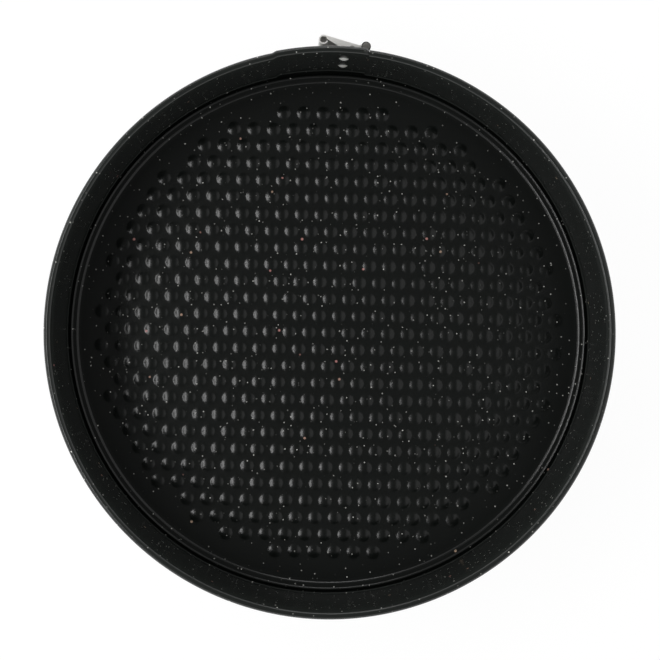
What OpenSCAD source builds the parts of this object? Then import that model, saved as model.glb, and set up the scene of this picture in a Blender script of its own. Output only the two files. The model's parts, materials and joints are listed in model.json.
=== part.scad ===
// Round springform cake pan: a loose dimpled base held in a sprung band that a lever clip closes.
// The origin is the middle of the pan on the surface it stands on, and the clip is on the +Y side.
// Millimetres, +Z up. Places along the band near the clip are given as distances in X.

/* [Pan] */
// Inner radius of the wall
wall_r = 130; // [110:1:160]
// Height of the pan to the top of the rim
pan_h = 68; // [64:1:100]

/* [Band] */
// Thickness of the band's sheet
band_t = 0.6; // [0.4:0.05:0.8]
// Outer radius of the rolled rim
roll_r = 2; // [1.8:0.1:3]
// Slit left open under the rolled rim
roll_slit = 0.4; // [0.2:0.05:0.6]
// Inner radius of the groove that holds the base
groove_r = 1.9; // [1.7:0.05:2.5]
// Height of the groove's centre
groove_z = 5.9; // [5:0.1:9]
// Width of the hemmed foot
foot_w = 3; // [2:0.1:5]
// Height of the hemmed foot
foot_h = 1.2; // [0.8:0.1:1.6]
// Distance in X from the clip's middle line to the end of the inner layer
inner_end_x = 18; // [16:0.5:20]
// Distance in X from the clip's middle line to the end of the outer layer
outer_end_x = 25; // [23:0.5:26]
// Distance in X from the clip's middle line to the step where the outer layer starts
joggle_x = 26.4; // [20:0.2:34]
// Length of that step along the band
joggle_w = 1.6; // [1:0.1:3]
// Gap between the two layers
lap_gap = 0.1; // [0.05:0.05:0.2]

/* [Base] */
// Thickness of the base's sheet
base_t = 0.7; // [0.5:0.05:0.8]
// How far the flange reaches into the groove
flange_reach = 0.8; // [0.5:0.05:0.8]
// Drop from the groove's centre to the underside of the flange
flange_drop = 1.1; // [0.9:0.05:1.2]
// Distance from the wall in to the inner top edge of the raised ring
ring_gap = 4.6; // [4.4:0.1:8]
// Width of the raised ring's top with the lip
ring_w = 3; // [2:0.1:3]
// Height of the raised ring
ring_h = 0.6; // [0.5:0.05:1]
// Width of each sloping side of the raised ring
ring_side = 0.6; // [0.4:0.05:0.8]
// Width of the lip along the ring's outer edge
lip_w = 0.4; // [0.3:0.05:0.8]
// Height of that lip above the ring's flat top
lip_h = 0.4; // [0.2:0.05:0.6]
// Width of the lip's slope on the ring's side
lip_side = 0.3; // [0.2:0.05:0.4]

/* [Bumps] */
// Radius of a bump at its foot
bump_r = 3.45; // [2:0.05:4]
// Height of a bump
bump_h = 0.7; // [0.5:0.05:1.2]
// Distance between bumps in a row
bump_pitch = 9.82; // [9:0.01:20]
// Distance between rows
row_pitch = 8.4; // [8:0.01:20]
// Distance from the raised ring's foot in to the outermost bumps' centres
field_gap = 11.3; // [4:0.1:60]
// Turn of the rows, clockwise seen from above
rows_turn = 1.2; // [-30:0.1:30]

/* [Hinge plate] */
// Height of the hinge plate's lower edge above the surface
plate_rise = 20; // [14:0.5:22]
// Distance from the rolled rim down to the hinge plate
plate_drop = 4; // [2:0.5:6]
// Thickness of the hinge plate
plate_t = 1; // [0.8:0.05:1.2]
// Distance in X from the clip's middle line to the plate's left edge
plate_left = 6; // [5:0.5:12]
// Distance in X from the clip's middle line to the plate's right edge
plate_right = 12; // [11:0.5:12.5]
// Radius of the plate's free corners
plate_corner = 3; // [1:0.5:5]
// Height of each knuckle
knuckle_h = 6.5; // [5:0.5:8]
// Distance in X of the rivets
rivet_x = 6.7; // [5.5:0.1:7]
// Distance of each rivet from the nearest edge of the plate, above or below
rivet_inset = 7.5; // [6:0.5:10]
// Radius of a rivet's shank
rivet_r = 1.2; // [0.8:0.05:1.5]
// Radius of a rivet's domed head inside the pan
dome_r = 2.3; // [1.8:0.05:3]
// Height of that head
dome_h = 0.9; // [0.5:0.05:1.2]
// Radius of a rivet's flat head outside
head_r = 2.4; // [1.8:0.05:2.5]
// Height of that head
head_h = 0.7; // [0.4:0.05:0.8]

/* [Pins] */
// Distance in X of the hinge pins
hinge_x = 17; // [16:0.1:18]
// Distance of the hinge pins' axis outside the wall's inner radius
hinge_out = 5.3; // [5:0.1:6]
// Radius of the hinge pins
hinge_pin_r = 1.2; // [1:0.05:1.3]
// Distance in X of the catch pin
catch_x = 10.5; // [10.2:0.1:11]
// Distance of the catch pin's axis outside the wall's inner radius
catch_out = 4.9; // [4.8:0.05:5.2]
// Radius of the catch pin
catch_pin_r = 1; // [0.8:0.05:1.1]
// How much wider than its pin the head of a pin is, in radius
pin_head_step = 0.6; // [0.3:0.05:0.8]
// Height of a pin's head
pin_head_h = 0.5; // [0.3:0.05:0.7]

/* [Lever] */
// Thickness of the lever's sheet
lever_t = 0.8; // [0.6:0.05:1]
// Distance in X from the hinge pins to the centre of the finger curl
lever_reach = 20; // [18:0.5:30]
// How much further out than the hinge pins the centre of the finger curl is
curl_out = 4.2; // [4:0.1:6]
// Outer radius of the finger curl
curl_r = 2.3; // [1.8:0.1:3]
// Length of the lever's face beyond the curl
face_len = 17; // [15:0.5:17.5]
// Slope of the face towards the band
face_tilt = 16.5; // [14:0.5:18]
// Length of the window that lets the catch plate through the face
window_len = 8; // [7.5:0.5:9]
// Width of the strip beside the window
window_strip = 3.7; // [3:0.1:4]
// Start of the cheeks along the face
cheek_start = 1.2; // [0.5:0.1:3]
// Depth of the cheeks at their start
cheek_lip = 1.5; // [1:0.1:3]
// Radius of the cheek round the hinge pin
hinge_ear_r = 2.2; // [1.9:0.05:2.5]
// Radius of the cheek round the catch pin
catch_ear_r = 2; // [1.6:0.05:2.1]

/* [Catch plate] */
// Thickness of the catch plate
catch_t = 0.8; // [0.6:0.05:0.9]
// Distance of the tongue's edge from the lever's, above and below
tongue_inset = 4.2; // [4.2:0.1:7]
// How far the welded foot stands out beyond the tongue, above and below
pad_rise = 4; // [1:0.5:6]
// Length in X of the welded foot
pad_w = 14; // [8:0.5:24]
// Radius of the foot's free corners
pad_corner = 3; // [1:0.5:5]
// Length in X of the bend between the tongue and the foot
bend_w = 2.1; // [1.5:0.1:3]
// Distance in X that the bend keeps from the end of the band's outer layer
bend_clear = 2.3; // [2:0.1:4]
// Height of the tongue over the band's outer layer at the bend
tongue_lift = 1.3; // [0.8:0.1:1.5]
// Radius of a spot weld's dent
weld_r = 1.6; // [1:0.1:2]
// Depth of a spot weld's dent
weld_depth = 0.25; // [0.1:0.05:0.4]

/* [Hidden] */
$fn = 96;
bump_sides = 24;

coat = [0.11, 0.11, 0.12];
coat_edge = [0.2, 0.2, 0.22];
plating = [0.78, 0.79, 0.8];

// Running gap of a pin in its bore
pin_gap = 0.05;
// Gap between a head or a plate and what it lies on
seat_gap = 0.1;
// Gap between parts that move past each other
side_gap = 0.3;
// How far cuts run past the faces that they open
overrun = 1;
// How far neighbouring stretches of the band's section, or strips of the base, run into each other
stretch_lap = 0.4;
// Share of the welded foot's height at which the two spot welds lie
weld_share = 0.25;

rim_z = pan_h - roll_r;
lap_step = band_t + lap_gap;
lap_r = wall_r + lap_step;
lap_out_r = lap_r + band_t;
plate_r = lap_out_r + seat_gap;
pad_r = wall_r + band_t + side_gap;

floor_z = groove_z - flange_drop;
floor_top = floor_z + base_t;
base_r = wall_r + flange_reach;
ring_in_r = wall_r - ring_gap;
field_r = ring_in_r - ring_side - field_gap;
bump_sphere_r = (bump_r * bump_r + bump_h * bump_h) / (2 * bump_h);
bump_rows = floor(field_r / row_pitch);

plate_h = rim_z - roll_r - plate_drop - plate_rise;
clip_z = plate_rise + plate_h / 2;
lever_z = plate_rise + knuckle_h + side_gap;
lever_h = plate_h - 2 * (knuckle_h + side_gap);
tongue_h = lever_h - 2 * tongue_inset;
pad_h = tongue_h + 2 * pad_rise;
hinge_at = [hinge_x, wall_r + hinge_out];
catch_at = [catch_x, wall_r + catch_out];
curl_at = hinge_at + [-lever_reach, curl_out];
knuckle_r = hinge_pin_r + pin_gap + plate_t;
eye_r = catch_pin_r + pin_gap + catch_t;
rivet_zs = [plate_rise + rivet_inset, plate_rise + plate_h - rivet_inset];

// Angle from the clip's middle line to the place x on radius r, clockwise seen from above
function turn_to(x, r) = asin(x / r);
// Point on radius r at an angle from the clip's middle line
function around(r, turn) = [r * sin(turn), r * cos(turn)];
// Unit vector at an angle from +X
function heading(angle) = [cos(angle), sin(angle)];
// Angle from point p to point q
function bearing(p, q) = atan2(q[1] - p[1], q[0] - p[0]);
// Point where the line from p touches the circle of radius r round c, on its right (side 1) or left (-1)
function touch(p, c, r, side) =
  let (along = bearing(p, c) - side * asin(r / norm(c - p)))
  c + r * heading(along - side * 90);
// Point of the band's plane seen from the lever's face
function on_face(p) =
  let (d = p - curl_at)
  [d[0] * cos(face_tilt) - d[1] * sin(face_tilt), d[0] * sin(face_tilt) + d[1] * cos(face_tilt)];

// Spins a profile about the pan's axis between two angles from the clip's middle line
module swept(from_turn, to_turn) {
  rotate_extrude(angle = to_turn - from_turn, start = 90 - to_turn) children();
}

// Moves a piece to a turn round the pan, on radius r at height z, with its Z axis outward
module facing_out(x, r, z) {
  rotate([0, 0, -turn_to(x, r)]) translate([0, r, z]) rotate([-90, 0, 0]) children();
}

module ring(outer, inner) {
  difference() {
    circle(r = outer);
    circle(r = inner);
  }
}

module rounded(size, corner) {
  translate([corner, 0]) square([size[0] - 2 * corner, size[1]]);
  translate([0, corner]) square([size[0], size[1] - 2 * corner]);
  for (x = [corner, size[0] - corner], y = [corner, size[1] - corner]) translate([x, y]) circle(r = corner);
}

// Dome of radius r and height h on the plane z = 0
module dome(r, h) {
  sphere_r = (r * r + h * h) / (2 * h);
  rotate_extrude() intersection() {
    translate([0, h - sphere_r]) circle(r = sphere_r);
    square([r, h]);
  }
}

// Section of the band's sheet: wall, groove and rolled rim, with the wall's inner face at radius r
module sheet_section(r, t, groove, roll, bottom) {
  translate([r, bottom]) square([t, groove_z - groove - bottom]);
  translate([r, groove_z + groove]) square([t, rim_z - groove_z - groove]);
  intersection() {
    translate([wall_r, groove_z]) ring(groove + t, groove);
    translate([r, groove_z - groove - t]) square([groove + t, 2 * (groove + t)]);
  }
  difference() {
    translate([r + roll, rim_z]) ring(roll, roll - t);
    translate([r, rim_z - roll]) square([t + roll_slit, roll]);
  }
}

module foot_section(r) {
  translate([r, 0]) square([foot_w, foot_h]);
}

module rivet_holes() {
  for (z = rivet_zs) {
    facing_out(rivet_x, wall_r, z) cylinder(r = rivet_r + pin_gap, h = plate_r + plate_t + overrun - wall_r);
  }
}

// The strip runs from its inner layer's end right round to the step, then on as the outer layer
module band() {
  groove_out = groove_r + lap_step;
  step_at = -turn_to(joggle_x, wall_r);
  step_end = -turn_to(joggle_x - joggle_w, wall_r);
  inner_end = turn_to(inner_end_x, wall_r);
  layer_end = turn_to(inner_end_x - overrun, wall_r);
  outer_end = turn_to(outer_end_x, wall_r);
  into = turn_to(stretch_lap, wall_r);
  color(coat) difference() {
    union() {
      swept(inner_end, 360 + step_at) {
        sheet_section(wall_r, band_t, groove_r, roll_r, 0);
        foot_section(wall_r);
      }
      swept(step_at - into, step_end + into) {
        sheet_section(wall_r, band_t + lap_step, groove_r, roll_r, 0);
        foot_section(wall_r);
      }
      swept(step_end, layer_end) {
        sheet_section(lap_r, band_t, groove_out, roll_r, 0);
        foot_section(lap_r);
      }
      swept(layer_end - into, outer_end) {
        sheet_section(lap_r, band_t, groove_out, roll_r - lap_step, foot_h + lap_gap);
      }
    }
    rivet_holes();
  }
}

// Centres of the bumps in row k: each second row stands half a pitch along, so that the rows close up
function row_places(k) =
  let (columns = ceil(field_r / bump_pitch), shift = (abs(k) % 2) / 2)
  [
    for (i = [-columns : columns])
      let (p = [(i + shift) * bump_pitch, k * row_pitch])
      if (norm(p) <= field_r) p
  ];

module bump(sphere_r, low) {
  rotate_extrude($fn = bump_sides) intersection() {
    translate([0, bump_h - bump_sphere_r]) circle(r = sphere_r);
    translate([0, low]) square([bump_r, bump_h - low]);
  }
}

// Section of the pressed ring with its lip and flange, from inside its foot to the flange's edge
module ring_section() {
  foot_in = ring_in_r - ring_side;
  top_out = ring_in_r + ring_w;
  lip_in = top_out - lip_w;
  foot_out = top_out + ring_side;
  lip_top = ring_h + lip_h;
  polygon([
    [foot_in - 2 * stretch_lap, floor_z],
    [foot_in, floor_z],
    [ring_in_r, floor_z + ring_h],
    [lip_in - lip_side, floor_z + ring_h],
    [lip_in, floor_z + lip_top],
    [top_out, floor_z + lip_top],
    [foot_out, floor_z],
    [base_r, floor_z],
    [base_r, floor_top],
    [foot_out, floor_top],
    [top_out, floor_top + lip_top],
    [lip_in, floor_top + lip_top],
    [lip_in - lip_side, floor_top + ring_h],
    [ring_in_r, floor_top + ring_h],
    [foot_in, floor_top],
    [foot_in - 2 * stretch_lap, floor_top],
  ]);
}

// Strip of the plate that carries row k. The first and the last strip reach to the plate's edge
module base_row(k) {
  plate_out = ring_in_r - ring_side - stretch_lap;
  low = k == -bump_rows ? -plate_out : (k - 1 / 2) * row_pitch - stretch_lap;
  high = k == bump_rows ? plate_out : (k + 1 / 2) * row_pitch + stretch_lap;
  places = row_places(k);
  difference() {
    union() {
      intersection() {
        translate([0, 0, floor_z]) cylinder(r = plate_out, h = base_t);
        translate([-plate_out, low, 0]) cube([2 * plate_out, high - low, rim_z]);
      }
      for (p = places) translate([p[0], p[1], floor_top]) bump(bump_sphere_r, -base_t / 2);
    }
    for (p = places) translate([p[0], p[1], floor_top]) bump(bump_sphere_r - base_t, -base_t - overrun);
  }
}

module base() {
  color(coat) rotate([0, 0, -rows_turn]) union() {
    rotate_extrude() ring_section();
    for (k = [-bump_rows : bump_rows]) base_row(k);
  }
}

// Plan of the strip that rises from the plate's foot and rolls up round the hinge pins
module knuckle_plan() {
  turn = turn_to(plate_right - plate_t, plate_r);
  inner = around(plate_r, turn);
  outer = around(plate_r + plate_t, turn);
  meets = touch(inner, hinge_at, knuckle_r, 1);
  inward = (hinge_at - meets) / knuckle_r;
  polygon([inner, meets, meets + plate_t * inward, outer]);
  translate(hinge_at) circle(r = knuckle_r);
}

module hinge_plate() {
  color(coat_edge) difference() {
    union() {
      intersection() {
        swept(-turn_to(plate_left, plate_r), turn_to(plate_right, plate_r)) {
          translate([plate_r, plate_rise]) square([plate_t, plate_h]);
        }
        translate([-plate_left, 0, plate_rise]) rotate([90, 0, 0]) mirror([0, 0, 1])
          linear_extrude(height = plate_r + plate_t + overrun)
            rounded([plate_left + plate_right + 2 * plate_corner, plate_h], plate_corner);
      }
      for (z = [plate_rise, plate_rise + plate_h - knuckle_h]) {
        translate([0, 0, z]) linear_extrude(height = knuckle_h) knuckle_plan();
      }
    }
    translate([hinge_at[0], hinge_at[1], plate_rise - overrun]) {
      cylinder(r = hinge_pin_r + pin_gap, h = plate_h + 2 * overrun);
    }
    rivet_holes();
  }
}

// Rivet through the outer layer and the hinge plate: domed inside the pan, flat outside
module hinge_rivet(z) {
  grip = plate_r + plate_t + seat_gap - lap_r;
  color(plating) facing_out(rivet_x, lap_r, z) {
    translate([0, 0, -seat_gap]) cylinder(r = rivet_r, h = grip + seat_gap);
    translate([0, 0, -seat_gap]) rotate([180, 0, 0]) dome(dome_r, dome_h);
    translate([0, 0, grip]) cylinder(r = head_r, h = head_h);
  }
}

module hinge_rivet_upper() {
  hinge_rivet(rivet_zs[1]);
}

module hinge_rivet_lower() {
  hinge_rivet(rivet_zs[0]);
}

// Pin of length h with a head below z = 0 and another above its far end
module headed_pin(r, h) {
  cylinder(r = r, h = h);
  for (z = [-pin_head_h, h]) translate([0, 0, z]) cylinder(r = r + pin_head_step, h = pin_head_h);
}

// Short pin through one knuckle and the cheek beside it, set from the cheek outward
module hinge_pin() {
  grip = lever_t + side_gap + knuckle_h + 2 * seat_gap;
  color(plating) translate([hinge_at[0], hinge_at[1], lever_h / 2 - lever_t - seat_gap]) {
    headed_pin(hinge_pin_r, grip);
  }
}

module hinge_pin_upper() {
  translate([0, 0, clip_z]) hinge_pin();
}

module hinge_pin_lower() {
  translate([0, 0, clip_z]) mirror([0, 0, 1]) hinge_pin();
}

// Plan of the lever's face with the finger curl, seen along the face from the curl's centre
module face_plan() {
  translate([0, curl_r - lever_t]) square([face_len, lever_t]);
  difference() {
    ring(curl_r, curl_r - lever_t);
    square(curl_r + overrun);
  }
}

// Plan of a cheek, in the same place as the face's plan
module cheek_plan() {
  hinge = on_face(hinge_at);
  catch = on_face(catch_at);
  start = [cheek_start, curl_r - cheek_lip];
  corner = [face_len, curl_r];
  below = heading(bearing(catch, hinge) - 90);
  polygon([
    [cheek_start, curl_r],
    corner,
    touch(corner, hinge, hinge_ear_r, -1),
    hinge,
    hinge + hinge_ear_r * below,
    catch + catch_ear_r * below,
    touch(start, catch, catch_ear_r, 1),
    start,
  ]);
  translate(hinge) circle(r = hinge_ear_r);
  translate(catch) circle(r = catch_ear_r);
}

module lever() {
  color(plating) difference() {
    translate([curl_at[0], curl_at[1], lever_z]) rotate([0, 0, -face_tilt]) difference() {
      union() {
        linear_extrude(height = lever_h) face_plan();
        for (z = [0, lever_h - lever_t]) translate([0, 0, z]) linear_extrude(height = lever_t) cheek_plan();
      }
      translate([face_len - window_len, 0, window_strip]) {
        cube([window_len + overrun, curl_r + overrun, lever_h - 2 * window_strip]);
      }
    }
    translate([hinge_at[0], hinge_at[1], lever_z - overrun]) {
      cylinder(r = hinge_pin_r + pin_gap, h = lever_h + 2 * overrun);
    }
    translate([catch_at[0], catch_at[1], lever_z - overrun]) {
      cylinder(r = catch_pin_r + pin_gap, h = lever_h + 2 * overrun);
    }
  }
}

module catch_pin() {
  color(plating) translate([catch_at[0], catch_at[1], lever_z - seat_gap]) {
    headed_pin(catch_pin_r, lever_h + 2 * seat_gap);
  }
}

// Plan of the tongue, from the eye round the catch pin to the bend that meets the welded foot
module tongue_plan() {
  bend_x = outer_end_x + bend_clear;
  pad_x = bend_x + bend_w;
  bend_r = lap_out_r + tongue_lift;
  bend_turn = turn_to(bend_x, bend_r);
  pad_turn = turn_to(pad_x, pad_r);
  bend_in = around(bend_r, bend_turn);
  meets = touch(bend_in, catch_at, eye_r, -1);
  inward = (catch_at - meets) / eye_r;
  polygon([
    meets,
    bend_in,
    around(pad_r, pad_turn),
    around(pad_r + catch_t / 2, turn_to(pad_x + catch_t, pad_r)),
    around(pad_r + catch_t, pad_turn),
    around(bend_r + catch_t, bend_turn),
    meets + catch_t * inward,
  ]);
  translate(catch_at) circle(r = eye_r);
}

module catch_plate() {
  pad_x = outer_end_x + bend_clear + bend_w;
  color(coat_edge) difference() {
    union() {
      intersection() {
        swept(turn_to(pad_x, pad_r), turn_to(pad_x + pad_w, pad_r)) {
          translate([pad_r, clip_z - pad_h / 2]) square([catch_t, pad_h]);
        }
        translate([pad_x, 0, clip_z - pad_h / 2]) rotate([90, 0, 0]) mirror([0, 0, 1])
          linear_extrude(height = pad_r + catch_t + overrun) rounded([pad_w, pad_h], pad_corner);
      }
      translate([0, 0, clip_z - tongue_h / 2]) linear_extrude(height = tongue_h) tongue_plan();
    }
    translate([catch_at[0], catch_at[1], clip_z - tongue_h]) {
      cylinder(r = catch_pin_r + pin_gap, h = 2 * tongue_h);
    }
    for (side = [-1, 1]) {
      facing_out(pad_x + pad_w / 2, pad_r + catch_t, clip_z + side * weld_share * pad_h) {
        translate([0, 0, -weld_depth]) cylinder(r = weld_r, h = weld_depth + overrun);
      }
    }
  }
}

band();
base();
hinge_plate();
hinge_rivet_upper();
hinge_rivet_lower();
hinge_pin_upper();
hinge_pin_lower();
lever();
catch_pin();
catch_plate();
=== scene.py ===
"""Round springform cake pan with a loose dimpled base, on a white studio floor.

Lengths are metres in the pan's own frame: the origin is the middle of the pan on the floor, Z is up, and the
lever clip is on the +Y side. Angles round the pan are measured from the clip, clockwise seen from above.
"""

import json
import math

import bmesh
import bpy
from bpy.props import FloatProperty, IntProperty, PointerProperty, StringProperty
from bpy.types import NodeSocket, Operator, Panel, PropertyGroup
from mathutils import Matrix, Vector


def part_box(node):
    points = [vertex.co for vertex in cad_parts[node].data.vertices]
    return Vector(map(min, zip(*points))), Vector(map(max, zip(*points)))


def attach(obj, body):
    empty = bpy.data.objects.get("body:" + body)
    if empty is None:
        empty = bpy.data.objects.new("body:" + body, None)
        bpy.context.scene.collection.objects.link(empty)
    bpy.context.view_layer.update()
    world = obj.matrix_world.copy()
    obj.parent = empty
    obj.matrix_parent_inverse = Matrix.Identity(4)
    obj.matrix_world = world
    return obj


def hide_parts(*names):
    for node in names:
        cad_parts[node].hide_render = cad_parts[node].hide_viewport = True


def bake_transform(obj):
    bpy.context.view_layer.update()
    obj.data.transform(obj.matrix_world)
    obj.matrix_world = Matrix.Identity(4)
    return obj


bl_info = {
    "name": "Springform Cake Pan",
    "version": (1, 0, 0),
    "blender": (4, 5, 0),
    "location": "View3D > Sidebar > Pan",
    "description": "Builds a springform cake pan with a loose dimpled base",
    "category": "Object",
}

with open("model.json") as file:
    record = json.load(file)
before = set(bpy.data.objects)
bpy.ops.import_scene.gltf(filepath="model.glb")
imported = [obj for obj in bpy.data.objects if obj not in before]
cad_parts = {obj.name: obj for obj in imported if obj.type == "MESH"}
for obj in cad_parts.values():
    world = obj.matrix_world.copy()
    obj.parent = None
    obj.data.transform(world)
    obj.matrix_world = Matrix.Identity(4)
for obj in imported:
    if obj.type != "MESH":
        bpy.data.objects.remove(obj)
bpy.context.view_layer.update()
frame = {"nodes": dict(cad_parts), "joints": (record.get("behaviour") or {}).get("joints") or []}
BAND_LOW, BAND_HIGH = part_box("band")
BASE_LOW, BASE_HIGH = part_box("base")

MM = 0.001
UP = Vector((0, 0, 1))

# Points closer than this are one point
MERGE = 0.002 * MM
# Faces that meet at more than this many degrees keep a sharp edge between them
BAND_SHARP, BASE_SHARP, CLIP_SHARP, FLOOR_SHARP = 38, 60, 40, 30
# The hem's inner fold, and where the wall starts to open into the rim, in sheets and in radii of the rim
HEM_FOLD, FLARE_START = 0.54, 1.2
# The groove's arc turns this many degrees up and down from straight out
GROOVE_TURN = 56
# The rolled rim starts on the inside, goes over the top and ends this many degrees under straight out
RIM_END = -125


class BandSizes(PropertyGroup):
    """Sizes of the sprung band."""

    sheet: FloatProperty(name="Sheet", description="Thickness of the sheet", default=0.6 * MM, unit="LENGTH")
    roll: FloatProperty(
        name="Roll", description="Outer radius of the rolled rim", default=2 * MM, unit="LENGTH"
    )
    groove: FloatProperty(
        name="Groove", description="Inner radius of the groove", default=1.9 * MM, unit="LENGTH"
    )
    groove_height: FloatProperty(
        name="Groove height", description="Height of the groove's centre", default=5.9 * MM, unit="LENGTH"
    )
    ledge: FloatProperty(
        name="Ledge",
        description="How far the wall stands in over the groove",
        default=0.5 * MM,
        unit="LENGTH",
    )
    flare: FloatProperty(
        name="Flare",
        description="How far the wall opens into the rolled rim",
        default=0.5 * MM,
        unit="LENGTH",
    )
    foot: FloatProperty(name="Foot", description="Width of the hemmed foot", default=3 * MM, unit="LENGTH")
    lap_gap: FloatProperty(
        name="Lap gap", description="Gap between the layers", default=0.1 * MM, unit="LENGTH"
    )
    inner_end: FloatProperty(
        name="Inner end", description="Place in X where the inner layer ends", default=18 * MM, unit="LENGTH"
    )
    outer_end: FloatProperty(
        name="Outer end", description="Place in X where the outer layer ends", default=25 * MM, unit="LENGTH"
    )
    joggle: FloatProperty(
        name="Joggle",
        description="Place in X where the outer layer starts",
        default=-26.4 * MM,
        unit="LENGTH",
    )
    joggle_length: FloatProperty(
        name="Joggle length",
        description="Length of the step between the layers",
        default=2 * MM,
        unit="LENGTH",
    )
    turn_step: FloatProperty(
        name="Turn step",
        description="Angle between the band's sections",
        default=math.radians(1.5),
        subtype="ANGLE",
    )


class BaseSizes(PropertyGroup):
    """Sizes of the loose base."""

    sheet: FloatProperty(name="Sheet", description="Thickness of the sheet", default=0.7 * MM, unit="LENGTH")
    ring_inner: FloatProperty(
        name="Ring",
        description="Radius to the raised ring's inner top edge",
        default=125.6 * MM,
        unit="LENGTH",
    )
    ring_width: FloatProperty(
        name="Ring width",
        description="Width of the raised ring's top with its lip",
        default=2.8 * MM,
        unit="LENGTH",
    )
    ring_height: FloatProperty(
        name="Ring height", description="Height of the raised ring", default=0.6 * MM, unit="LENGTH"
    )
    lip_width: FloatProperty(
        name="Lip width", description="Width of the lip on the ring", default=0.35 * MM, unit="LENGTH"
    )
    lip_height: FloatProperty(
        name="Lip height", description="Height of the lip over the ring", default=0.4 * MM, unit="LENGTH"
    )
    lip_side: FloatProperty(
        name="Lip side", description="Width of the lip's steep inner side", default=0.3 * MM, unit="LENGTH"
    )
    ring_side: FloatProperty(
        name="Ring side", description="Width of the ring's steep inner side", default=0.45 * MM, unit="LENGTH"
    )
    ring_fall: FloatProperty(
        name="Ring fall", description="Width of the ring's outer slope", default=1.3 * MM, unit="LENGTH"
    )
    shoulder: FloatProperty(
        name="Shoulder",
        description="Width of the soft shoulder over the ring's side",
        default=0.6 * MM,
        unit="LENGTH",
    )
    bump_foot: FloatProperty(
        name="Bump radius",
        description="Radius where a bump fades into the plate",
        default=3.9 * MM,
        unit="LENGTH",
    )
    bump_turn: FloatProperty(
        name="Bump shoulder",
        description="Radius where a bump's crown turns hollow",
        default=3.1 * MM,
        unit="LENGTH",
    )
    bump_height: FloatProperty(
        name="Bump height", description="Height of a bump", default=0.7 * MM, unit="LENGTH"
    )
    pitch: FloatProperty(
        name="Pitch", description="Distance of bumps in a row", default=9.82 * MM, unit="LENGTH"
    )
    row_pitch: FloatProperty(
        name="Row pitch", description="Distance of rows", default=8.4 * MM, unit="LENGTH"
    )
    field: FloatProperty(
        name="Field",
        description="Largest distance of a bump from the middle",
        default=113.5 * MM,
        unit="LENGTH",
    )
    rows_turn: FloatProperty(
        name="Turn of the rows",
        description="Clockwise from above",
        default=math.radians(1.2),
        subtype="ANGLE",
    )
    segments: IntProperty(name="Segments", description="Points round the raised ring", default=240)


class Finishes(PropertyGroup):
    """Colours and textures of the pan's surfaces."""

    base_dark: StringProperty(name="Base", description="Ground of the base's coating", default="#0F1210")
    base_light: StringProperty(name="Base light", description="Its lighter areas", default="#151816")
    # The band's two colours are lighter copies of the base's coating: painted light that brightens the band's
    # wall and rim
    band_ground_painted_lighter: StringProperty(name="Band", description="Ground of the band's coating", default="#1C1F1D")
    band_light_painted_lighter: StringProperty(name="Band light", description="Its lighter areas", default="#242725")
    white_fleck: StringProperty(name="Pale flecks", description="Mineral flecks", default="#E2E1DB")
    copper_fleck: StringProperty(name="Copper flecks", description="Rose-coloured flecks", default="#C98A88")
    sand_fleck: StringProperty(name="Sand flecks", description="Yellowish flecks", default="#BFB093")
    plating: StringProperty(name="Plating", description="Nickel plating of the lever", default="#F4F3F0")
    pin_steel: StringProperty(name="Pin steel", description="Plain steel of the pins", default="#8A8884")
    fleck_cell: FloatProperty(
        name="Fleck spacing", description="Spacing of the pale flecks", default=3.1 * MM, unit="LENGTH"
    )
    fleck_radius: FloatProperty(
        name="Fleck radius", description="Largest radius of a pale fleck", default=0.42 * MM, unit="LENGTH"
    )
    copper_cell: FloatProperty(
        name="Warm spacing", description="Spacing of the warm flecks", default=15 * MM, unit="LENGTH"
    )
    copper_radius: FloatProperty(
        name="Warm radius", description="Largest radius of a warm fleck", default=0.8 * MM, unit="LENGTH"
    )


class Studio(PropertyGroup):
    """Camera and light."""

    camera_x: FloatProperty(name="Camera X", description="Across", default=-13.7 * MM, unit="LENGTH")
    camera_y: FloatProperty(name="Camera Y", description="Towards the clip", default=7.0 * MM, unit="LENGTH")
    camera_height: FloatProperty(
        name="Camera height", description="Over the floor", default=0.972, unit="LENGTH"
    )
    aim_x: FloatProperty(name="Aim X", description="Where the camera looks", default=0.87 * MM, unit="LENGTH")
    aim_y: FloatProperty(name="Aim Y", description="Where the camera looks", default=1.31 * MM, unit="LENGTH")
    lens: FloatProperty(name="Lens", description="Focal length in millimetres", default=105.53)
    strip_power: FloatProperty(
        name="Strip light", description="Power of the left strip in watts", default=2.4
    )
    fill_power: FloatProperty(name="Fill light", description="Power of the right panel in watts", default=1.0)
    back_power: FloatProperty(
        name="Back light", description="Power of the low back lamp in watts", default=0.42
    )


def sizes(name):
    """The values of one group of properties, by its name on the scene."""
    return getattr(bpy.context.scene, name)


def linear(code):
    """Linear colour of an sRGB hex code, with alpha."""
    parts = [int(code[i : i + 2], 16) / 255 for i in (1, 3, 5)]
    return [c / 12.92 if c <= 0.04045 else ((c + 0.055) / 1.055) ** 2.4 for c in parts] + [1]


def add(tree, kind, inputs=None, **settings):
    """A node with its settings, its constants and its links."""
    node = tree.nodes.new(kind)
    for name, value in settings.items():
        setattr(node, name, value)
    for name, value in (inputs or {}).items():
        if isinstance(value, NodeSocket):
            tree.links.new(value, node.inputs[name])
        else:
            node.inputs[name].default_value = value
    return node


def new_material(name):
    """A material with an empty node tree and its output."""
    material = bpy.data.materials.new(name)
    material.use_nodes = True
    material.node_tree.nodes.clear()
    return material, material.node_tree


def flecks(tree, place, cell, radius):
    """Mask of round flecks, one in each cell where the surface cuts it, and each fleck's own chances."""
    grains = add(tree, "ShaderNodeTexVoronoi", {"Vector": place, "Scale": 1 / cell, "Randomness": 1.0})
    share = radius / cell
    mask = add(
        tree,
        "ShaderNodeMapRange",
        {
            "Value": grains.outputs["Distance"],
            "From Min": 0.6 * share,
            "From Max": share,
            "To Min": 1.0,
            "To Max": 0.0,
        },
    )
    chance = add(tree, "ShaderNodeSeparateColor", {"Color": grains.outputs["Color"]})
    return mask.outputs["Result"], chance.outputs


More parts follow.
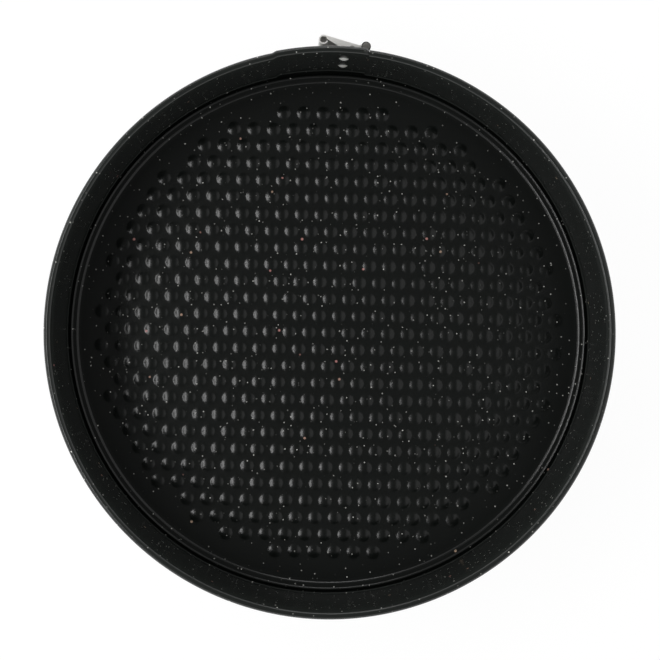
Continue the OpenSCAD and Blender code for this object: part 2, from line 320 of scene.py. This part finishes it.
def coating_material(name, dark, light, roughness):
    """Sprayed and baked non-stick coating with mineral flecks.

    It gives a dark satin ground with pale pinpoints and a few larger warm ones.
    """
    look = sizes("pan_finishes")
    material, tree = new_material(name)
    place = add(tree, "ShaderNodeTexCoord").outputs["Object"]

    # The sprayed film varies slowly in depth of colour, over some 35 mm
    cloud = add(tree, "ShaderNodeTexNoise", {"Vector": place, "Scale": 1 / (35 * MM), "Detail": 3.0})
    ground = add(
        tree,
        "ShaderNodeMix",
        {"Factor": cloud.outputs["Fac"], "A": linear(dark), "B": linear(light)},
        data_type="RGBA",
    )

    # Pale mineral flecks, most of them buried deeper and fainter
    pale_mask, pale_chance = flecks(tree, place, look.fleck_cell, look.fleck_radius)
    depth = add(tree, "ShaderNodeMath", {0: pale_chance[0], 1: 1.4}, operation="POWER")
    pale = add(tree, "ShaderNodeMath", {0: pale_mask, 1: depth.outputs[0]}, operation="MULTIPLY")
    with_pale = add(
        tree,
        "ShaderNodeMix",
        {"Factor": pale.outputs[0], "A": ground.outputs["Result"], "B": linear(look.white_fleck)},
        data_type="RGBA",
    )

    # Warm flecks, larger and rarer, from rose to sand
    warm_mask, warm_chance = flecks(tree, place, look.copper_cell, look.copper_radius)
    warm = add(
        tree,
        "ShaderNodeMix",
        {"Factor": warm_chance[1], "A": linear(look.copper_fleck), "B": linear(look.sand_fleck)},
        data_type="RGBA",
    )
    colour = add(
        tree,
        "ShaderNodeMix",
        {"Factor": warm_mask, "A": with_pale.outputs["Result"], "B": warm.outputs["Result"]},
        data_type="RGBA",
    )

    # Spray grain breaks up the gloss. The real grain is finer, and is drawn 0.9 mm coarse so that it shows
    grain = add(tree, "ShaderNodeTexNoise", {"Vector": place, "Scale": 1 / (0.9 * MM), "Detail": 4.0})
    gloss = add(
        tree,
        "ShaderNodeMapRange",
        {"Value": grain.outputs["Fac"], "To Min": roughness - 0.05, "To Max": roughness + 0.05},
    )
    relief = {"Height": grain.outputs["Fac"], "Strength": 0.12, "Distance": 0.06 * MM}
    bump = add(tree, "ShaderNodeBump", relief)
    surface = add(
        tree,
        "ShaderNodeBsdfPrincipled",
        {
            "Base Color": colour.outputs["Result"],
            "Roughness": gloss.outputs["Result"],
            "Normal": bump.outputs["Normal"],
            "IOR": 1.45,
        },
    )
    add(tree, "ShaderNodeOutputMaterial", {"Surface": surface.outputs[0]})
    return material


def metal_material(name, colour, smooth, rough):
    """Pressed or drawn steel, bare or plated: fine marks along the sheet, and haze that varies the gloss.

    The marks are 4 mm long and 0.3 mm apart, coarser than real ones, so that they show.
    """
    material, tree = new_material(name)
    place = add(tree, "ShaderNodeTexCoord").outputs["Object"]
    length, spacing = 4 * MM, 0.3 * MM
    drawn = add(tree, "ShaderNodeMapping", {"Vector": place, "Scale": (1 / length, 1 / length, 1 / spacing)})
    marks = add(tree, "ShaderNodeTexNoise", {"Vector": drawn.outputs[0], "Scale": 1.0, "Detail": 3.0})
    haze = add(tree, "ShaderNodeTexNoise", {"Vector": place, "Scale": 1 / (6 * MM), "Detail": 2.0})
    gloss = add(tree, "ShaderNodeMapRange", {"Value": haze.outputs["Fac"], "To Min": smooth, "To Max": rough})
    relief = {"Height": marks.outputs["Fac"], "Strength": 0.15, "Distance": 0.02 * MM}
    bump = add(tree, "ShaderNodeBump", relief)
    surface = add(
        tree,
        "ShaderNodeBsdfPrincipled",
        {
            "Base Color": linear(colour),
            "Metallic": 1.0,
            "Roughness": gloss.outputs["Result"],
            "Normal": bump.outputs["Normal"],
        },
    )
    add(tree, "ShaderNodeOutputMaterial", {"Surface": surface.outputs[0]})
    return material


def arc(centre, radius, start, end, count):
    """Points on an arc in a section, angles in degrees from outward, up positive."""
    turns = [math.radians(start + (end - start) * i / (count - 1)) for i in range(count)]
    return [Vector((centre[0] + radius * math.cos(a), centre[1] + radius * math.sin(a))) for a in turns]


def eased(corners, radius, count):
    """A section's line with its inner corners rounded, each by that many points."""
    points = [corners[0]]
    for before, corner, after in zip(corners, corners[1:], corners[2:]):
        inward = (before - corner).normalized()
        onward = (after - corner).normalized()
        half = inward.angle(onward) / 2
        reach = min(radius / math.tan(half), 0.45 * (before - corner).length, 0.45 * (after - corner).length)
        first, last = corner + inward * reach, corner + onward * reach
        for i in range(count):
            t = i / (count - 1)
            points.append(first * (1 - t) ** 2 + corner * 2 * t * (1 - t) + last * t**2)
    return points + [corners[-1]]


def both_sides(line, thickness):
    """Closed outline of a sheet whose middle runs along line."""
    ways = [(b - a).normalized() for a, b in zip(line, line[1:])]
    sides = []
    for before, after in zip([None] + ways, ways + [None]):
        along = ((before or Vector((0, 0))) + (after or Vector((0, 0)))).normalized()
        aside = Vector((-along.y, along.x))
        stretch = max(abs(along.dot(after or before)), 0.5)
        sides.append(aside * (thickness / 2 / stretch))
    return [p + s for p, s in zip(line, sides)] + [p - s for p, s in reversed(list(zip(line, sides)))]


def band_section(step, nested, hem, lift):
    """Outline of the band's sheet, from the hemmed foot up to the end of the rolled rim.

    step is how far the sheet lies outside the inner layer, and nested curls the rim tighter by as much, so that
    it goes into the other layer's rim. hem is the foot's width and lift its height over the floor.
    """
    s = sizes("pan_band")
    t = s.sheet
    inner = -BAND_LOW.x - 2 * s.roll
    wall = inner + t / 2 + step

    # The foot: the sheet turned outward and folded back on itself
    fold = HEM_FOLD * t
    low, high = t / 2 + lift, t / 2 + 2 * fold + lift
    edge = wall + hem - t - fold
    hem_line = [Vector((wall + 2 * t, high))] + arc((edge, (low + high) / 2), fold, 90, -90, 7)

    # The groove that holds the base, and the ledge over it
    groove = s.groove + t / 2 + step
    groove_line = arc((inner, s.groove_height), groove, -GROOVE_TURN, GROOVE_TURN, 11)
    low_corners = [hem_line[-1], Vector((wall, low)), Vector((wall, s.groove_height - groove)), groove_line[0]]
    top = s.groove_height + groove
    stands_in = wall - s.ledge
    ledge = [
        Vector((stands_in, top)),
        Vector((stands_in, top + 0.4 * s.ledge)),
        Vector((wall, top + 1.4 * s.ledge)),
    ]

    # The flare at the top of the wall, and the rolled rim
    bead = s.roll - (t + s.flare) / 2 - (step if nested else 0)
    bead_at = (wall + s.flare + bead, BAND_HIGH.z - s.roll + s.flare / 2)
    bead_line = arc(bead_at, bead, 180, RIM_END, 21)
    flare = Vector((wall, bead_at[1] - FLARE_START * s.roll))
    high_corners = [groove_line[-1]] + ledge + [flare, bead_line[0]]

    lower, upper = eased(low_corners, t, 5), eased(high_corners, t, 5)
    return both_sides(hem_line[:-1] + lower + groove_line[1:-1] + upper + bead_line[1:], t)


def still_point(radius):
    """Place on the band that the open clip leaves where it was, and the share of the catch's turn left there.

    The lever's full swing shifts the catch pin and leaves the catch plate unturned, so the band turns by a
    small angle about that pin. The still point is as far from the pin's new place as from its old one.
    """
    joints = {j["name"]: j for j in frame["joints"]}
    pivot, pin = (Vector(joints[name]["pos_m"][:2]) for name in ("lever_swing", "catch_pivot"))
    swing = math.radians(joints["lever_swing"]["range_deg"][1])
    moved = pivot + Matrix.Rotation(-swing, 2) @ (pin - pivot)
    middle, away = (pin + moved) / 2, (moved - pin).normalized()
    away = Vector((away.y, -away.x))
    along = away.dot(middle)
    reach = -along + math.sqrt(along**2 - middle.length_squared + radius**2)
    point = middle + away * reach
    turn = 2 * math.asin((moved - pin).length / 2 / (point - pin).length)

    # The share t of the way at which the smooth weight 3t^2 - 2t^3 is the band's turn over the catch's,
    # found by steps that settle long before the last
    share = 0.1
    for _ in range(40):
        share = math.sqrt((turn / swing + 2 * share**3) / 3)
    return point, pin, share


def turn_at(x, radius):
    """Angle from the clip to the place x on that radius."""
    return math.asin(x / radius)


def loop_at(bm, outline, turn):
    """A closed loop of edges: the outline stood up at a turn round the pan."""
    out = Vector((math.sin(turn), math.cos(turn), 0))
    verts = [bm.verts.new(out * p.x + UP * p.y) for p in outline]
    return verts + [bm.edges.new((a, b)) for a, b in zip(verts, verts[1:] + verts[:1])]


def sweep(bm, outline, start, end, step):
    """Spins an outline round the pan, clockwise from above, and returns its first and last loops of edges."""
    first = loop_at(bm, outline, start)
    edges = [e for e in first if isinstance(e, bmesh.types.BMEdge)]
    made = bmesh.ops.spin(
        bm, geom=first, cent=(0, 0, 0), axis=-UP, angle=end - start, steps=max(1, round((end - start) / step))
    )
    last = [e for e in made["geom_last"] if isinstance(e, bmesh.types.BMEdge)]
    return edges, last


def close_end(bm, loop, outline):
    """Closes an end of the sheet with a strip of faces between the two sides of its outline."""

    def on_first_side(vert):
        at = Vector((vert.co.xy.length, vert.co.z))
        nearest = min(range(len(outline)), key=lambda i: (outline[i] - at).length_squared)
        return nearest < len(outline) // 2

    sides = [e for e in loop if on_first_side(e.verts[0]) == on_first_side(e.verts[1])]
    bmesh.ops.bridge_loops(bm, edges=sides)


def finish_mesh(bm, name, material, sharp):
    """Turns a bmesh into a named, smoothly shaded piece with that material."""
    bmesh.ops.remove_doubles(bm, verts=bm.verts, dist=MERGE)
    bmesh.ops.recalc_face_normals(bm, faces=bm.faces)
    mesh = bpy.data.meshes.new(name)
    bm.to_mesh(mesh)
    bm.free()
    mesh.shade_smooth()
    mesh.set_sharp_from_angle(angle=math.radians(sharp))
    mesh.materials.append(material)
    piece = bpy.data.objects.new(name, mesh)
    bpy.context.scene.collection.objects.link(piece)
    return piece


def step_up(edge, low, high, side, shoulder):
    """Corners of a pressed step up to edge: a steep side, then a softer shoulder that catches the light."""
    return [
        Vector((edge - shoulder - side, low)),
        Vector((edge - shoulder, high - 0.43 * shoulder)),
        Vector((edge, high)),
    ]


def bump_rise(r):
    """Height of a bump at radius r: a crown whose slope grows evenly, then a hollow foot that fades out."""
    s = sizes("pan_base")
    slope = 2 * s.bump_height / s.bump_foot
    if r < s.bump_turn:
        return s.bump_height - slope * r * r / (2 * s.bump_turn)
    return slope * (s.bump_foot - r) ** 2 / (2 * (s.bump_foot - s.bump_turn))


def bump_tile():
    """Mesh of one bump in its six-sided cell of the plate."""
    s = sizes("pan_base")

    # The cell's six corners lie as far from this bump as from the two next ones
    half = s.pitch / 2
    low = (s.row_pitch**2 - half**2) / (2 * s.row_pitch)
    high = s.row_pitch - low
    cell = ((half, low), (0, high), (-half, low), (-half, -low), (0, -high), (half, -low))
    corners = [Vector(p) for p in cell]
    border = []
    for a, b in zip(corners, corners[1:] + corners[:1]):
        border += [a, (a + b) / 2]

    # Rings of the bump, as shares of its foot's radius, and the cell's border round them
    sides = len(border)
    bm = bmesh.new()
    previous = None
    for share in (0.16, 0.38, 0.6, 0.76, 0.88, 1):
        ring = bmesh.ops.create_circle(
            bm, cap_ends=previous is None, cap_tris=True, segments=sides, radius=share * s.bump_foot
        )["verts"]
        for v in ring:
            v.co.z = bump_rise(v.co.xy.length)
        edges = list({e for v in ring for e in v.link_edges if e.is_boundary or e.is_wire})
        if previous:
            bmesh.ops.bridge_loops(bm, edges=previous + edges)
        previous = edges
    rim = bmesh.ops.create_circle(bm, segments=sides, radius=half)["verts"]
    for v in rim:
        nearest = min(border, key=lambda p: (p.normalized() - v.co.xy.normalized()).length)
        v.co = (nearest.x, nearest.y, 0)
    edges = list({e for v in rim for e in v.link_edges})
    bmesh.ops.bridge_loops(bm, edges=previous + edges)
    bmesh.ops.recalc_face_normals(bm, faces=bm.faces)
    mesh = bpy.data.meshes.new("bump_tile")
    bm.to_mesh(mesh)
    bm.free()
    return mesh


def bump_places():
    """Centres of the bumps: close-packed rows, each second row half a pitch along."""
    s = sizes("pan_base")
    rows = int(s.field / s.row_pitch)
    columns = int(s.field / s.pitch) + 1
    places = []
    for k in range(-rows, rows + 1):
        for i in range(-columns, columns + 1):
            place = Vector(((i + (k % 2) / 2) * s.pitch, k * s.row_pitch, 0))
            if place.length <= s.field:
                places.append(place)
    return places


class PAN_OT_base(Operator):
    """Press the loose base: a plate with rows of bumps, a raised ring and a flat flange"""

    bl_idname = "pan.base"
    bl_label = "Base"

    def execute(self, context):
        s = sizes("pan_base")

        # The field of bumps, one tile beside the other
        bm = bmesh.new()
        tile = bump_tile()
        for place in bump_places():
            count = len(bm.verts)
            bm.from_mesh(tile)
            bm.verts.ensure_lookup_table()
            bmesh.ops.translate(bm, verts=bm.verts[count:], vec=place)
        bpy.data.meshes.remove(tile)
        bmesh.ops.remove_doubles(bm, verts=bm.verts, dist=0.02 * MM)
        bmesh.ops.rotate(bm, verts=bm.verts, matrix=Matrix.Rotation(-s.rows_turn, 3, "Z"))
        field_edges = [e for e in bm.edges if e.is_boundary]

        # Raised ring with its lip, and flange, turned about the pan's axis
        ring_out = s.ring_inner + s.ring_width
        border = s.ring_inner - 5 * s.shoulder
        lip_in = ring_out - s.lip_width
        lip_top = s.ring_height + s.lip_height
        rounding = 0.45 * MM
        corners = [Vector((border, 0))]
        corners += step_up(s.ring_inner, 0, s.ring_height, s.ring_side, s.shoulder)
        corners += step_up(lip_in, s.ring_height, lip_top, s.lip_side, 0.66 * s.shoulder)
        corners += [Vector((ring_out, lip_top)), Vector((ring_out + s.ring_fall, 0)), Vector((BASE_HIGH.x, 0))]
        line = [bm.verts.new((p.x, 0, p.y)) for p in eased(corners, rounding, 4)]
        edges = [bm.edges.new(pair) for pair in zip(line, line[1:])]
        bmesh.ops.spin(
            bm, geom=line + edges, cent=(0, 0, 0), axis=UP, angle=math.tau, steps=s.segments, use_merge=True
        )

        # Flat plate between the field and the ring
        def on_border(edge):
            return all(abs(v.co.xy.length - border) < 0.05 * MM for v in edge.verts)

        border_edges = [e for e in bm.edges if e.is_boundary and on_border(e)]
        bmesh.ops.triangle_fill(bm, edges=field_edges + border_edges, use_beauty=True, normal=UP)
        bmesh.ops.translate(bm, verts=bm.verts, vec=UP * (BASE_LOW.z + s.sheet))

        look = sizes("pan_finishes")
        material = coating_material("speckled_non_stick_base", look.base_dark, look.base_light, 0.24)
        piece = finish_mesh(bm, "loose_base", material, BASE_SHARP)
        if piece.data.polygons[0].normal.z < 0:
            raise RuntimeError("the base's top faces down")
        sheet = piece.modifiers.new("sheet", "SOLIDIFY")
        sheet.thickness = s.sheet
        sheet.offset = -1
        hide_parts("base")
        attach(piece, "base")
        return {"FINISHED"}


class PAN_OT_band(Operator):
    """Roll the sprung band in two halves that meet at its still point"""

    bl_idname = "pan.band"
    bl_label = "Band"

    def execute(self, context):
        s = sizes("pan_band")
        look = sizes("pan_finishes")
        # The band's coating is painted lighter than the base's, standing in for light on its wall and rim
        material = coating_material("speckled_band_painted_lighter", look.band_ground_painted_lighter, look.band_light_painted_lighter, 0.22)
        radius = -BAND_LOW.x - 2 * s.roll
        still, pin, share = still_point(radius + s.sheet / 2)
        split = math.atan2(still.x, still.y)

        # The single layer, the outer layer past the joggle, and its tail, whose rim and foot clear the band's
        # other end
        step = s.sheet + s.lap_gap
        plain = band_section(0, False, s.foot, 0)
        lapped = band_section(step, False, s.foot, 0)
        tail = band_section(step, True, 2.2 * s.sheet, 2 * s.sheet + s.lap_gap)

        # The half on the catch plate's side, from the inner layer's end to the still point
        bm = bmesh.new()
        first, last = sweep(bm, plain, turn_at(s.inner_end, radius), split, s.turn_step)
        close_end(bm, first, plain)
        close_end(bm, last, plain)
        right = finish_mesh(bm, "band_catch_half", material, BAND_SHARP)

        # The half that carries the hinge plate, from the still point round to the outer layer's end. The joggle
        # and the start of the tail, just before the inner layer's end, are bridged
        bm = bmesh.new()
        joggle = math.tau + turn_at(s.joggle, radius)
        joggle_end = math.tau + turn_at(s.joggle + s.joggle_length, radius)
        lap_end = math.tau + turn_at(s.inner_end - 12 * s.lap_gap, radius)
        tail_start = math.tau + turn_at(s.inner_end - 3 * s.lap_gap, radius)
        tail_end = math.tau + turn_at(s.outer_end, radius)
        first, last = sweep(bm, plain, split, joggle, s.turn_step)
        lap_first, lap_last = sweep(bm, lapped, joggle_end, lap_end, s.turn_step)
        tail_first, tail_last = sweep(bm, tail, tail_start, tail_end, s.turn_step)
        bmesh.ops.bridge_loops(bm, edges=last + lap_first)
        bmesh.ops.bridge_loops(bm, edges=lap_last + tail_first)
        close_end(bm, first, plain)
        close_end(bm, tail_last, tail)
        left = finish_mesh(bm, "band_hinge_half", material, BAND_SHARP)

        for piece in (left, right):
            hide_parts("band")
        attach(left, "band")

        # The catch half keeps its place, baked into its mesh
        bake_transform(right)
        return {"FINISHED"}


class PAN_OT_clip(Operator):
    """Finish the clip: ease the edges of its pressed parts and give each its surface"""

    bl_idname = "pan.clip"
    bl_label = "Clip"

    def execute(self, context):
        look = sizes("pan_finishes")
        # The clip's coating runs from the base's ground to the band's ground, which is painted lighter
        coated = coating_material("sprayed_clip_coating", look.base_dark, look.band_ground_painted_lighter, 0.3)
        plated = metal_material("bright_nickel_plating", look.plating, 0.6, 0.76)
        steel = metal_material("plain_drawn_steel", look.pin_steel, 0.4, 0.55)

        # Each node's surface, and the width in millimetres by which its edges are eased
        finish = {
            "hinge_plate": (coated, 0.18),
            "catch_plate": (coated, 0.15),
            "hinge_rivet_upper": (plated, 0.08),
            "hinge_rivet_lower": (plated, 0.08),
            "lever": (plated, 0.12),
            "catch_pin": (steel, 0.1),
            "hinge_pin_upper": (steel, 0.1),
            "hinge_pin_lower": (steel, 0.1),
        }
        for node, (material, edge) in finish.items():
            part = bpy.data.objects.get(node) or frame["nodes"][node]
            for slot in part.material_slots:
                slot.material = material
            weld = part.modifiers.new("weld", "WELD")
            weld.merge_threshold = 0.001 * MM
            ease = part.modifiers.new("eased_edges", "BEVEL")
            ease.width = edge * MM
            ease.segments = 2
            ease.limit_method = "ANGLE"
            ease.angle_limit = math.radians(CLIP_SHARP)
            part.modifiers.new("even_shading", "WEIGHTED_NORMAL")
        return {"FINISHED"}


class PAN_OT_stage(Operator):
    """Set the pale floor, the three lamps, the horizon round them and the camera overhead"""

    bl_idname = "pan.stage"
    bl_label = "Stage"

    def execute(self, context):
        s = sizes("pan_studio")
        self.floor()
        self.surroundings(context)

        # Each lamp with its place, the point that it faces, and its width and length
        self.lamp("strip_left", s.strip_power, (-0.44, -0.05, 0.7), (0, -0.05, 0), (0.1, 0.72))
        self.lamp("panel_right", s.fill_power, (0.55, 0, 0.9), (0, 0, 0), (0.45, 1.2))
        self.lamp("low_back", s.back_power, (0, 0.6, 0.42), (0, -0.12, 0.03), (0.3, 0.1))

        camera = bpy.data.objects.new("camera", bpy.data.cameras.new("camera"))
        camera.data.sensor_width = 36
        camera.data.lens = s.lens
        camera.location = (s.camera_x, s.camera_y, s.camera_height)
        look = Vector((s.aim_x, s.aim_y, 0)) - camera.location
        camera.rotation_euler = self.facing(look).to_euler()
        context.scene.collection.objects.link(camera)
        context.scene.camera = camera
        context.scene.view_settings.view_transform = "Standard"
        return {"FINISHED"}

    @staticmethod
    def facing(look):
        """Rotation that looks along a direction with +Y up in the picture."""
        back = -look.normalized()
        right = Vector((0, 1, 0)).cross(back).normalized()
        return Matrix((right, back.cross(right), back)).transposed()

    def lamp(self, name, power, place, aim, size):
        """A rectangular area lamp."""
        light = bpy.data.lights.new(name, "AREA")
        light.energy = power
        light.shape = "RECTANGLE"
        light.size, light.size_y = size
        lamp = bpy.data.objects.new(name, light)
        lamp.location = place
        lamp.rotation_euler = self.facing(Vector(aim) - Vector(place)).to_euler()
        bpy.context.scene.collection.objects.link(lamp)

    def floor(self):
        """White paper that takes the pan's shadow and looks white where it is seen or mirrored."""
        bm = bmesh.new()
        bmesh.ops.create_grid(bm, x_segments=1, y_segments=1, size=4)
        material, tree = new_material("white_sweep_paper")
        seen = add(tree, "ShaderNodeLightPath").outputs
        white = add(tree, "ShaderNodeBsdfDiffuse", {"Color": linear("#F4F4F4")})
        glow = add(tree, "ShaderNodeEmission", {"Color": (1, 1, 1, 1), "Strength": 1.05})
        direct = seen["Is Camera Ray"]
        for ray in ("Is Glossy Ray", "Is Transmission Ray"):
            direct = add(tree, "ShaderNodeMath", {0: direct, 1: seen[ray]}, operation="MAXIMUM").outputs[0]
        share = add(tree, "ShaderNodeMath", {0: direct, 1: 0.9}, operation="MULTIPLY").outputs[0]
        mixed = add(tree, "ShaderNodeMixShader", {0: share, 1: white.outputs[0], 2: glow.outputs[0]})
        add(tree, "ShaderNodeOutputMaterial", {"Surface": mixed.outputs[0]})
        finish_mesh(bm, "floor", material, FLOOR_SHARP)

    def surroundings(self, context):
        """A white horizon all round, brighter on the left, under a dark ceiling."""
        world = bpy.data.worlds.new("studio")
        world.use_nodes = True
        tree = world.node_tree
        tree.nodes.clear()
        place = add(tree, "ShaderNodeTexCoord").outputs["Generated"]
        way = add(tree, "ShaderNodeSeparateXYZ", {"Vector": place})
        height = add(
            tree,
            "ShaderNodeMapRange",
            {"Value": way.outputs["Z"], "From Min": 0.2, "From Max": 0.62, "To Min": 1.8, "To Max": 0.15},
            interpolation_type="SMOOTHSTEP",
        )
        side = add(
            tree,
            "ShaderNodeMapRange",
            {"Value": way.outputs["X"], "From Min": -1.0, "From Max": 1.0, "To Min": 1.15, "To Max": 0.75},
        )
        factors = {0: height.outputs["Result"], 1: side.outputs["Result"]}
        both = add(tree, "ShaderNodeMath", factors, operation="MULTIPLY")
        around = add(tree, "ShaderNodeBackground", {"Color": (1, 1, 1, 1), "Strength": both.outputs[0]})
        add(tree, "ShaderNodeOutputWorld", {"Surface": around.outputs[0]})
        context.scene.world = world


class PAN_PT_sidebar(Panel):
    """The pan's steps and its sizes, finishes and light"""

    bl_label = "Springform Cake Pan"
    bl_space_type = "VIEW_3D"
    bl_region_type = "UI"
    bl_category = "Pan"

    def draw(self, context):
        for name in STEPS:
            self.layout.operator(f"pan.{name}")
        for group in GROUPS:
            box = self.layout.box()
            values = getattr(context.scene, group)
            for name in values.bl_rna.properties.keys():
                if name not in ("rna_type", "name"):
                    box.prop(values, name)


STEPS = ("base", "band", "clip", "stage")
GROUPS = {"pan_band": BandSizes, "pan_base": BaseSizes, "pan_finishes": Finishes, "pan_studio": Studio}
CLASSES = (*GROUPS.values(), PAN_OT_base, PAN_OT_band, PAN_OT_clip, PAN_OT_stage, PAN_PT_sidebar)


def register():
    """Adds the classes, and one group of properties each for the band, base, finishes and studio."""
    for cls in CLASSES:
        bpy.utils.register_class(cls)
    for name, cls in GROUPS.items():
        setattr(bpy.types.Scene, name, PointerProperty(type=cls))


def unregister():
    """Takes away what register adds."""
    for name in GROUPS:
        delattr(bpy.types.Scene, name)
    for cls in reversed(CLASSES):
        bpy.utils.unregister_class(cls)


def main():
    """Builds the pan and its stage."""
    register()
    for name in STEPS:
        getattr(bpy.ops.pan, name)()
    bpy.context.view_layer.update()


if __name__ == "__main__":
    main()
